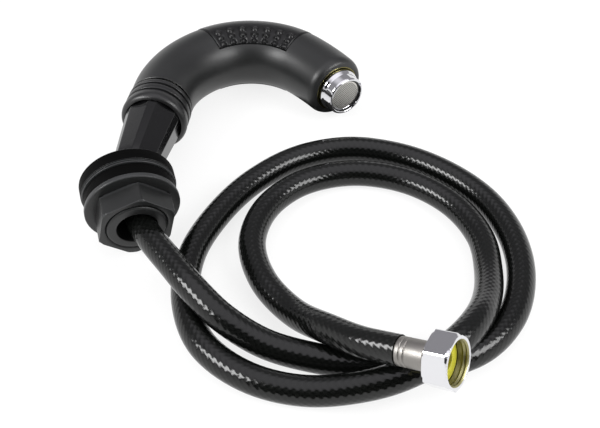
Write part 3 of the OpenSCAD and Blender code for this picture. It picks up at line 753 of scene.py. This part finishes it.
class SPRAYER_OT_hose(bpy.types.Operator):
    """Braided hose, laid from the hose nut through the bushing to its union nut"""

    bl_idname = "sprayer.hose"
    bl_label = "Hose"

    def execute(self, context):
        opts = settings()
        radius = opts.hose_diameter / 2 / MM
        line = hose_line(2.0)
        sides = 40
        verts, lengths, total = [], [], 0.0
        for k, (p, t) in enumerate(line):
            if k:
                total += (p - line[k - 1][0]).length
            lengths.append(total)
            u = t.cross(Vector((0, 0, 1))).normalized()
            v = u.cross(t)
            for i in range(sides):
                a = 2 * math.pi * i / sides
                verts.append(tuple(p + radius * (math.cos(a) * u + math.sin(a) * v)))
        lead = 2 * math.pi * radius
        last = len(line) - 1
        faces = grid_faces(len(line), sides)
        uvs = []
        for k in range(last):
            for i in range(sides):
                for col, row in ((i, k), (i + 1, k), (i + 1, k + 1), (i, k + 1)):
                    uvs.append((col / sides, lengths[row] / lead))
        faces += [tuple(reversed(range(sides))), tuple(last * sides + i for i in range(sides))]
        uvs += [(0.0, 0.0)] * (2 * sides)
        skin = braided_pvc(opts.braid_strands, opts.braid_depth / MM)
        hose = make("hose", verts, faces, skin, uvs=uvs)
        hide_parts("spray_hose")
        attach(hose, "handset")
        return {"FINISHED"}


# ---------------------------------------------------------------- handle


class SPRAYER_OT_handle(bpy.types.Operator):
    """Handle shell with the recess for its pad"""

    bl_idname = "sprayer.handle"
    bl_label = "Handle shell"

    def execute(self, context):
        recess, wall, step = 1.2, 0.45, 3.0
        over = [i * step for i in range(-44, 45) if abs(i * step) <= PAD_HALF - 0.5]
        under = [PAD_HALF + wall + i * step for i in range(32)] + [360 - PAD_HALF - wall]
        angles, inside = over + under, [True] * len(over) + [False] * len(under)
        start, end = PAD_S
        stations = [HANDLE_S, HANDLE_S + 0.25]
        stations += spaced(HANDLE_S + 2, start - 1, 2.0) + [start - 0.3]
        pad_from = len(stations)
        stations += [start + (end - start) * k / 30 for k in range(31)]
        pad_to = len(stations)
        stations += spaced(end + 0.3, NOSE_S - 1, 1.8)
        stations += [NOSE_S + NOSE_LEN * math.sin(math.radians(x)) for x in range(0, 91, 9)]
        verts = []
        for k, s in enumerate(stations):
            low = recess if pad_from <= k < pad_to else 0
            edge = 0.25 if k == 0 else 0
            for a, pad in zip(angles, inside):
                verts.append(skin_point(s, a, skin_r(s) - edge - (low if pad else 0)))
        # The open front turns in to the brass insert, and the neck end to the inlet.
        front, mouth_r, mouth_deep = S_END + FRONT_D, 13.9, 9
        for s in (front, front - mouth_deep):
            verts += [skin_point(s, a, mouth_r) for a in angles]
        faces = grid_faces(len(stations) + 2, len(angles))
        satin = moulded_abs(to_hex(settings().shell_colour), 0.4)
        shell = make("handle", verts, faces, satin, HAND, 40)
        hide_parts("handle_shell")
        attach(shell, "handset")
        return {"FINISHED"}


class SPRAYER_OT_pad(bpy.types.Operator):
    """Grip pad with its rows of bumps"""

    bl_idname = "sprayer.pad"
    bl_label = "Grip pad"

    def execute(self, context):
        start, end = PAD_S[0] + 0.3, PAD_S[1] - 0.3
        half, proud, edge_r, per_degree = PAD_HALF - 1, 0.3, 0.75, math.radians(1) * 18
        rows = [start + (end - start) * k / 150 for k in range(151)]
        cols = [-half + 2 * half * i / 270 for i in range(271)]
        verts = []
        for s in rows:
            for a in cols:
                side = min(s - start, end - s, (half - abs(a)) * per_degree)
                drop = edge_r * (1 - math.sqrt(max(0.0, 1 - (1 - min(1.0, side)) ** 2)))
                verts.append(skin_point(s, a, skin_r(s) + proud - drop + self.relief(s, a)))
        n, last = len(cols), len(rows) - 1
        faces = grid_faces(len(rows), n, False, False)
        # Skirt down into the recess.
        rim = (
            [(0, i) for i in range(n)] + [(k, n - 1) for k in range(1, last + 1)]
            + [(last, i) for i in range(n - 2, -1, -1)] + [(k, 0) for k in range(last - 1, 0, -1)]
        )
        base = len(verts)
        for k, i in rim:
            verts.append(skin_point(rows[k], cols[i], skin_r(rows[k]) - 1.1))
        for j, (k0, i0) in enumerate(rim):
            following = (j + 1) % len(rim)
            k1, i1 = rim[following]
            faces.append((k0 * n + i0, base + j, base + following, k1 * n + i1))
        pad = make("soft_pad", verts, faces, soft_touch_tpe(), HAND, 50)
        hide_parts("grip_pad")
        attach(pad, "handset")
        return {"FINISHED"}

    def relief(self, s, a):
        """Low domes in three rows of seven on each flank, each in its own shallow moat."""
        middle, pitch, dome_r, moat_deep, moat_r, moat_wide = 153, 8.1, 1.7, 0.55, 2.2, 0.5
        tall = settings().bump_height / MM
        i = min(3, max(-3, round((s - middle) / pitch)))
        # The lower flank's rows stand a little further out, clear of the inside of the curve.
        rows = (99, 112.5, 126) if a > 0 else (80, 93.5, 107)
        row = min(rows, key=lambda r: abs(abs(a) - r))
        apart = math.hypot(s - middle - pitch * i, math.radians(abs(a) - row) * 18.5)
        dome = tall * (1 - (apart / dome_r) ** 2) ** 1.5 if apart < dome_r else 0
        return dome - moat_deep * math.exp(-(((apart - moat_r) / moat_wide) ** 2))


class SPRAYER_OT_collar(bpy.types.Operator):
    """Ribbed collar between the hose nut and the handle"""

    bl_idname = "sprayer.collar"
    bl_label = "Collar"

    def execute(self, context):
        lip, rim, lip_in, bore, deep, rib = 3.4, 18.5, 15.95, 16.25, 16.2, 18.25
        mouth = CONE_LEN - lip
        outline = []
        for t in range(0, 91, 6):
            out, up = math.sin(math.radians(t)), 1 - math.cos(math.radians(t))
            outline.append((lip_in + (rim - lip_in) * out, mouth + lip * up, 0))
        outline += [(rim - 0.1, mouth + 4.8, 1.0), (18.15, mouth + 6.3, 0.8)]
        # Two grooves between the ribs, and a third against the handle.
        for g in (HANDLE_S - 11.75, HANDLE_S - 6.15):
            outline += [
                (rib, g - 0.3, 0.5), (deep, g, 0.1), (deep, g + 1.3, 0.1), (rib, g + 1.6, 0.5)]
        outline += [
            (18.1, HANDLE_S - 1.8, 0.5), (deep, HANDLE_S - 1.5, 0.1), (deep, HANDLE_S, 0.1)]
        # Pocket for the handle's inlet, the web with its hole, and the bore over the hose nut.
        outline += [
            (15.35, HANDLE_S), (15.35, 60), (10.6, 60), (10.6, 57), (bore, 57), (bore, mouth + 1)]
        satin = moulded_abs("#0f0f10", 0.38)
        collar = lathe("collar", rounded(outline, 0.15), satin, stem_frame(0), 128)
        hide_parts("collar_sleeve")
        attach(collar, "handset")
        return {"FINISHED"}


class SPRAYER_OT_hose_nut(bpy.types.Operator):
    """Tapered hose nut: six wide facets with bevelled corners"""

    bl_idname = "sprayer.hose_nut"
    bl_label = "Hose nut"

    def execute(self, context):
        # Half of a wide facet, half of the bevel beside it, and the nut's turn, in degrees.
        wide, turn = 22, 34
        bevel = 30 - wide
        foot_r, top_r = 10.2, 14.9
        corners = sorted((60 * k + e * wide + turn) % 360 for k in range(6) for e in (-1, 1))
        angles = []
        for i, c in enumerate(corners):
            span = (corners[(i + 1) % len(corners)] - c) % 360
            for t in (0.02, 0.06, 0.2, 0.5, 0.8, 0.94, 0.98):
                angles.append((c + t * span) % 360)
        angles.sort()

        def reach(a, flat):
            """Distance to the edge at angle a where the wide facets lie at flat."""
            x = (a - turn + 30) % 60 - 30
            if abs(x) <= wide:
                return flat / math.cos(math.radians(x))
            tip = flat / math.cos(math.radians(wide))
            return tip * math.cos(math.radians(bevel)) / math.cos(math.radians(30 - abs(x)))

        # Each ring as (height, how far its edge is cut back), then the bore as (height, radius).
        rings = (
            (0, 0.35), (0.12, 0.12), (0.4, 0),
            (CONE_LEN / 3, 0), (CONE_LEN * 2 / 3, 0), (CONE_LEN, 0))
        bore = (
            (CONE_LEN, 10.5), (46, 10.5), (46, 8.7), (44, 8.7), (44, 9.3), (0.3, 9.3), (0, 9.55))
        verts = []
        for z, cut in rings:
            flat = foot_r + (top_r - foot_r) * z / CONE_LEN
            for a in angles:
                r = reach(a, flat) - cut
                verts.append((r * math.cos(math.radians(a)), r * math.sin(math.radians(a)), z))
        for z, r in bore:
            for a in angles:
                verts.append((r * math.cos(math.radians(a)), r * math.sin(math.radians(a)), z))
        faces = grid_faces(len(rings) + len(bore), len(angles), True, True)
        nut = make("cone_nut", verts, faces, polished_acetal(), stem_frame(0), 25)
        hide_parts("hose_cone_nut")
        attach(nut, "handset")
        return {"FINISHED"}


# ---------------------------------------------------------------- outlet


class SPRAYER_OT_outlet(bpy.types.Operator):
    """Brass insert, aerator housing and its screen"""

    bl_idname = "sprayer.outlet"
    bl_label = "Outlet"

    def execute(self, context):
        self.insert()
        self.housing()
        self.screen()
        return {"FINISHED"}

    def insert(self):
        """Brass cup with a lip above a sunken face that is rougher, and darker in colour as painted
        shade.
        """
        cup = [
            (5.6, -7.5), (13.75, -7.5), (13.75, 1.9, 0.15), (13.35, 1.9, 0.1), (13.2, 1.3),
            (12.3, 1.3), (12.0, 1.3), (12.0, -5), (5.6, -5)]
        brass = turned_metal("turned brass", "#98905c", 0.24, 0.25)
        insert = lathe("outlet_ring", rounded(cup, 0.1), brass, outlet_frame(0))
        # The sunken face: rougher brass whose darker colour is painted shade of the recess.
        dull = turned_metal("dulled brass", "#4a4730", 0.36, 0.25)
        second_finish(insert, dull, lambda r, z: z < 1.5)
        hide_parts("outlet_insert")
        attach(insert, "handset")

    def housing(self):
        """Chromed barrel whose rim has four key slots."""
        head = [
            (11.9, -3.4), (11.9, 1.96), (12.7, 1.98, 0.2), (12.8, 4.4, 0.4), (11.7, 6.0, 0.4),
            (11.65, 10.7, 0.3), (11.1, 11.74, 0.3), (10.3, 11.8, 0.3), (10.0, 11.5, 0.15),
            (9.95, 10.5), (9.2, 10.45, 0.05), (9.0, 10.3, 0.05), (9.65, 10.25), (9.65, -3.4)]

        def slots(a, r, z):
            x = (math.degrees(a) + 15) % 90 - 45
            return (r, 10.3) if z > 10.9 and r < 11.2 and abs(x) < 5 else (r, z)

        housing = lathe(
            "aerator_barrel", rounded(head, 0.1), chromed_brass(), outlet_frame(0), 144, slots, 30)
        # The wall inside the rim and the floors of the slots are near-black moulded ABS in place of
        # chrome: painted shade and painted dark reflection.
        second_finish(
            housing, moulded_abs("#0b0b0c", 0.3),
            lambda r, z: (z > 10.4 and 9.2 < r < 10.02) or (10.25 < z < 10.6 and 9.2 < r < 11.4))
        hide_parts("aerator_housing")
        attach(housing, "aerator")

    def screen(self):
        """Slightly crowned wire screen behind the rim, with a pressed steel edge."""
        rings, around, radius, top, crown = 8, 72, 9.6, 10.35, 0.25
        verts = [(0, 0, top)]
        for k in range(1, rings + 1):
            r, z = radius * k / rings, top - crown * (k / rings) ** 2
            for i in range(around):
                a = 2 * math.pi * i / around
                verts.append((r * math.cos(a), r * math.sin(a), z))
        faces = [(0, 1 + i, 1 + (i + 1) % around) for i in range(around)]
        for k in range(rings - 1):
            low, high = 1 + k * around, 1 + (k + 1) * around
            for i in range(around):
                j = (i + 1) % around
                faces.append((low + i, high + i, high + j, low + j))
        screen = make("screen", verts, faces, woven_screen(), outlet_frame(0), 60)
        edge = turned_metal("pressed steel", "#dcdad4", 0.3, 0.1)
        second_finish(screen, edge, lambda r, z: r > 8.4)
        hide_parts("aerator_mesh")
        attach(screen, "aerator")


# ---------------------------------------------------------------- bushing


class SPRAYER_OT_bushing(bpy.types.Operator):
    """Deck bushing with its ring, gaskets, clamp washer and nut"""

    bl_idname = "sprayer.bushing"
    bl_label = "Deck bushing"

    def execute(self, context):
        nylon, painted_highlight, rubber = glass_filled_nylon(), highlight_painted_nylon(), epdm_rubber()

        # Flange and threaded shank, in the nylon. The rounded top edge of the flange's rim is in
        # the lighter nylon, a painted highlight; the rest of the flange, its side above all, keeps
        # the near-black, almost unreflecting rubber finish as painted shade.
        body = [
            (16.1, 0, 0.2), (20.5, 0, 0.5), (24.3, 1.6, 0.5), (24.3, 8.1, 0.3), (15.0, 8.1),
            (15.0, 32.0, 0.3), (14.2, 32.6, 0.3), (10.2, 32.6, 0.5), (10.2, 12)]
        flange = self.ring(
            "bushing_body", rounded(body, 0.2), rubber, 0, "bushing", "deck_bushing",
            "bushing_dark")
        second_finish(flange, painted_highlight, lambda r, z: z < 1.9 and r > 21.5)
        second_finish(flange, nylon, lambda r, z: z > 8.0 or r < 16.5)

        neck = [
            (17.5, 0.3), (17.7, 0), (18.0, 0), (18.3, 0.6), (18.3, 2.88), (16.2, 2.88)]
        self.ring(
            "mouth_ring", rounded(neck, 0.2), nylon, -2.9, "bushing", "neck_ring", "seal_rubber")
        # The thin gasket is all in the lighter nylon: painted highlight, so that its two rims show
        # as light lines.
        thin = [
            (15.1, 0), (23.7, 0), (23.9, 0.2), (23.9, 0.6), (22.9, 0.7), (22.9, 1.15),
            (23.9, 1.25), (23.9, 1.65), (23.7, 1.86), (15.1, 1.86)]
        self.ring(
            "thin_gasket", rounded(thin, 0.08), painted_highlight, 8.12, "bushing", "flange_gasket",
            "bushing_dark")
        thick = [(15.2, 0), (23.2, 0), (23.2, 7.26), (15.2, 7.26)]
        self.ring(
            "thick_gasket", rounded(thick, 0.7), rubber, 10.02, "bushing", "deck_gasket",
            "gasket_rubber")
        flat = [(15.4, 0), (24.0, 0), (24.0, 2.66), (15.4, 2.66)]
        washer = self.ring(
            "large_washer", rounded(flat, 0.55), nylon, 17.32, "washer", "clamp_washer",
            "bushing_dark")
        # Its outer rim is in the lighter nylon: painted highlight.
        second_finish(washer, painted_highlight, lambda r, z: r > 23.3)

        # Hex nut, lighter along its six edges at both ends: painted highlight.
        tip = LOCK_NUT_AF / math.sqrt(3)
        outline = [
            (15.1, 0), (tip - 1.4, 0), (tip + 0.3, 0.7), (tip + 0.2, 1.3), (tip - 0.1, 1.5),
            (tip - 0.1, 11.4), (tip - 1.2, 12.2, 0.2), (16.2, 12.2, 0.4), (15.1, 11.4, 0.2)]
        nut = lathe(
            "hex_nut", rounded(outline, 0.25), nylon, bush_frame(20.02), 240,
            hex_reach(LOCK_NUT_AF, 48.6), 25)
        second_finish(nut, painted_highlight, lambda r, z: r > 17 and (z < 1.4 or 11.5 < z < 12.15))
        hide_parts("lock_nut")
        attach(nut, "shank_nut")
        return {"FINISHED"}

    def ring(self, name, outline, material, depth, body, node, finish):
        """Turned ring, depth millimetres down the bushing."""
        obj = lathe(name, outline, material, bush_frame(depth), 144)
        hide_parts(node)
        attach(obj, body)
        return obj


# ---------------------------------------------------------------- supply end


class SPRAYER_OT_supply_end(bpy.types.Operator):
    """Crimped ferrule, union nut and yellow washer at the far end of the hose"""

    bl_idname = "sprayer.supply_end"
    bl_label = "Supply end"

    def execute(self, context):
        self.ferrule()
        self.nut()
        washer = lathe(
            "yellow_washer", rounded([(4.6, 0), (9.1, 0), (9.1, 1.6), (4.6, 1.6)], 0.3),
            yellow_rubber(), union_frame(4.42), 96)
        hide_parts("sealing_washer")
        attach(washer, "handset")
        return {"FINISHED"}

    def ferrule(self):
        """Crimp ferrule with three rolled grooves."""
        r, bore, deep, length = HOSE_R - 0.5, 5.05, 0.35, FERRULE_LEN
        outline = [(bore, 0), (r - 0.4, 0, 0.3), (r, 0.4, 0.3)]
        for g in (2.2, 4.4, length - 2.6):
            low, high = g + 0.25, g + 0.55
            outline += [(r, g, 0.1), (r - deep, low, 0.1), (r - deep, high, 0.1), (r, g + 0.8, 0.1)]
        outline += [(r, length - 0.3, 0.2), (r - 0.3, length, 0.2), (bore, length)]
        nickel = turned_metal("brushed nickel", "#94918d", 0.42, 0.3)
        place = union_frame(-FACE_GAP - length)
        ferrule = lathe("crimp_ferrule", rounded(outline, 0.05), nickel, place, 96)
        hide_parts("end_ferrule")
        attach(ferrule, "handset")

    def nut(self):
        """Chromed hex nut, with the thread inside it of bare brass under a thin grey bloom."""
        tip = UNION_AF / math.sqrt(3)
        outline = [
            (6.3, 0), (11.7, 0, 0.2), (tip, 0.8, 0.2), (tip, UNION_LEN - 1.12, 0.2),
            (11.4, UNION_LEN, 0.3), (10.3, UNION_LEN, 0.2)]
        pitch, z = 1.8, UNION_LEN - 0.5
        while z > 7.4:
            outline += [(9.5, z - 0.3, 0.1), (10.2, z - 1.2, 0.1)]
            z -= pitch
        outline += [(9.5, 6.12), (10.0, 6.12), (10.0, 2.5), (6.3, 2.5)]
        nut = lathe(
            "union_hex", rounded(outline, 0.08), chromed_brass(0.14), union_frame(0), 240,
            hex_reach(UNION_AF, 34.25), 25)
        second_finish(
            nut, turned_metal("dulled brass thread", "#a19c72", 0.42, 0.3),
            lambda r, z: r < 10.25 and z < UNION_LEN - 0.3)
        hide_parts("coupling_nut")
        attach(nut, "union_nut")


# ---------------------------------------------------------------- hidden parts


class SPRAYER_OT_water_way(bpy.types.Operator):
    """Finishes for the parts inside: inlet, valve, tube, seals, mixer and ferrule"""

    bl_idname = "sprayer.water_way"
    bl_label = "Water way"

    def execute(self, context):
        brass = turned_metal("turned brass of the inlet", "#b8914c", 0.3, 0.25)
        steel = turned_metal("drawn spring steel", "#a9acae", 0.28, 0.2)
        nickel = turned_metal("nickel-plated ferrule", "#b5b0a8", 0.3, 0.3)
        acetal, rubber = white_acetal(), epdm_rubber()
        finishes = {
            "inlet_fitting": brass, "tail_piece": brass, "hose_top_ferrule": nickel,
            "check_valve_body": acetal, "check_valve_poppet": acetal, "water_tube": acetal,
            "aerator_cartridge": acetal, "inlet_seal": rubber, "outlet_seal": rubber,
            "hose_washer": rubber, "aerator_washer": rubber,
        }
        for name, material in finishes.items():
            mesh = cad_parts[name].data
            mesh.materials.clear()
            mesh.materials.append(material)
            mesh.polygons.foreach_set("use_smooth", [True] * len(mesh.polygons))
            mesh.set_sharp_from_angle(angle=math.radians(30))
        self.spring(steel)
        return {"FINISHED"}

    def spring(self, steel):
        """Valve spring, pressed together against the guide as the poppet lifts."""
        wire, coil, turns, length, lift = 0.35, 2.3, 5, 7.1, 2.5
        around, steps = 8, 24 * turns
        verts = []
        for k in range(steps + 1):
            a = 2 * math.pi * turns * k / steps
            for i in range(around):
                q = 2 * math.pi * i / around
                r, z = coil + wire * math.cos(q), length * k / steps + wire * math.sin(q)
                verts.append((r * math.cos(a), r * math.sin(a), z))
        faces = grid_faces(steps + 1, around)
        faces += [tuple(reversed(range(around))), tuple(steps * around + i for i in range(around))]
        spring = make("valve_spring", verts, faces, steel, stem_frame(SPRING_S))
        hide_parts("check_valve_spring")
        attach(spring, "handset")
        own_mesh(spring)


# ---------------------------------------------------------------- panel and run


class SPRAYER_PT_panel(bpy.types.Panel):
    """Settings and steps of the bath sprayer"""

    bl_idname = "SPRAYER_PT_panel"
    bl_label = "Bath sprayer"
    bl_space_type = "VIEW_3D"
    bl_region_type = "UI"
    bl_category = "Bath sprayer"

    def draw(self, context):
        opts = context.scene.bath_sprayer
        for key in (
                "hose_diameter", "braid_strands", "braid_depth", "bump_height", "shell_colour",
                "floor_colour"):
            self.layout.prop(opts, key)
        for step in STEPS:
            self.layout.operator(step.bl_idname)


# In the order in which they run.
STEPS = (
    SPRAYER_OT_stage, SPRAYER_OT_supply_end, SPRAYER_OT_hose, SPRAYER_OT_handle, SPRAYER_OT_pad,
    SPRAYER_OT_collar, SPRAYER_OT_hose_nut, SPRAYER_OT_outlet, SPRAYER_OT_bushing,
    SPRAYER_OT_water_way,
)
CLASSES = (SprayerSettings, *STEPS, SPRAYER_PT_panel)


def register():
    for cls in CLASSES:
        bpy.utils.register_class(cls)
    bpy.types.Scene.bath_sprayer = PointerProperty(type=SprayerSettings)


def unregister():
    del bpy.types.Scene.bath_sprayer
    for cls in reversed(CLASSES):
        bpy.utils.unregister_class(cls)


def main():
    register()
    bpy.ops.sprayer.stage()
    bpy.ops.sprayer.supply_end()
    bpy.ops.sprayer.hose()
    bpy.ops.sprayer.handle()
    bpy.ops.sprayer.pad()
    bpy.ops.sprayer.collar()
    bpy.ops.sprayer.hose_nut()
    bpy.ops.sprayer.outlet()
    bpy.ops.sprayer.bushing()
    bpy.ops.sprayer.water_way()


if __name__ == "__main__":
    main()
